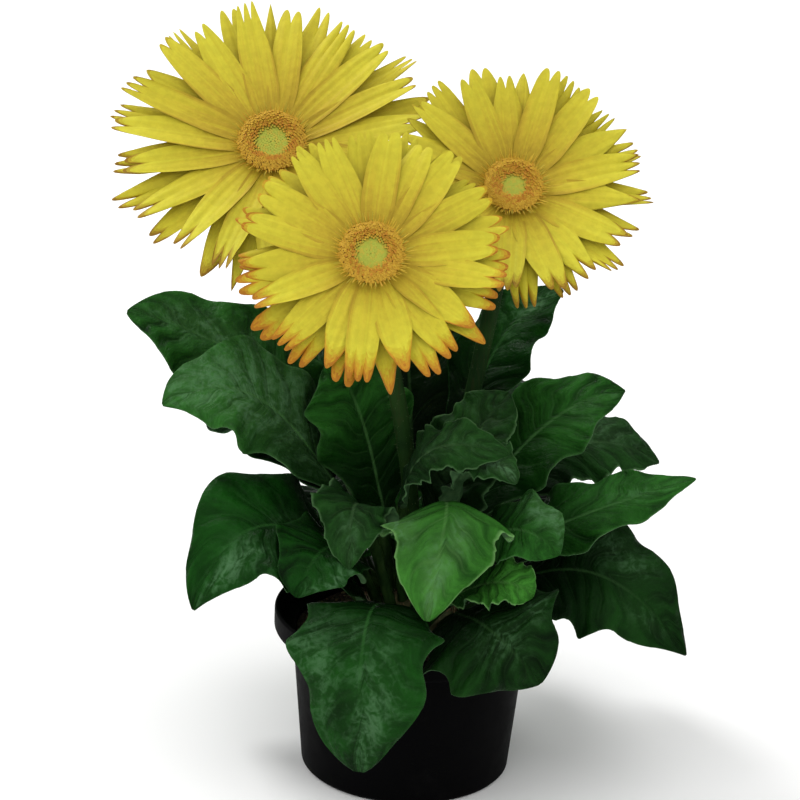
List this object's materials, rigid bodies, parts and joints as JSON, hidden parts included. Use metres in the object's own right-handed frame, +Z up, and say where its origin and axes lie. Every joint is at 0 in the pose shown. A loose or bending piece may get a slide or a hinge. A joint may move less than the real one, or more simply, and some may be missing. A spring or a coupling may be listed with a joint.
{
  "type": "potted gerbera daisy",
  "caption": "Yellow gerbera daisy plant in a small black nursery pot, with large lobed leaves.",
  "frame": {"origin": "centre of the pot's flat underside, at ground level", "axes": "+Z up along the pot's axis, -Y towards the plant's front, where the blooms face, +X to the viewer's right"},
  "size_m": [0.2252, 0.2027, 0.2871],
  "materials": {
    "pot_plastic": "satin",
    "potting_mix": "matte",
    "crown": "matte",
    "petal": "satin",
    "disc": "matte",
    "calyx": "matte",
    "stem": "satin",
    "leaf": "satin"
  },
  "bodies": {
    "root": {"bloom_front": "petal", "bloom_left": "petal", "bloom_right": "petal", "calyx_front": "calyx", "calyx_left": "calyx", "calyx_right": "calyx", "crown": "crown", "disc_front": "disc", "disc_left": "disc", "disc_right": "disc", "leaf_inner_left": "leaf", "leaf_inner_right": "leaf", "leaf_low_back": "leaf", "leaf_low_back_left": "leaf", "leaf_low_back_right": "leaf", "leaf_low_far_left": "leaf", "leaf_low_far_right": "leaf", "leaf_low_front": "leaf", "leaf_low_front_right": "leaf", "leaf_low_left": "leaf", "leaf_low_right": "leaf", "leaf_mid_back_left": "leaf", "leaf_mid_back_right": "leaf", "leaf_mid_far_left": "leaf", "leaf_mid_front": "leaf", "leaf_mid_front_left": "leaf", "leaf_mid_front_right": "leaf", "leaf_mid_left": "leaf", "leaf_mid_right": "leaf", "leaf_mid_right_back": "leaf", "leaf_top_back": "leaf", "leaf_top_back_right": "leaf", "leaf_top_far_back": "leaf", "leaf_top_left": "leaf", "leaf_top_right": "leaf", "leaf_young_front": "leaf", "leaf_young_left": "leaf", "leaf_young_low": "leaf", "leaf_young_right": "leaf", "pot": "pot_plastic", "potting_mix": "potting_mix", "stem_front": "stem", "stem_left": "stem", "stem_right": "stem"}
  },
  "joints": []
}
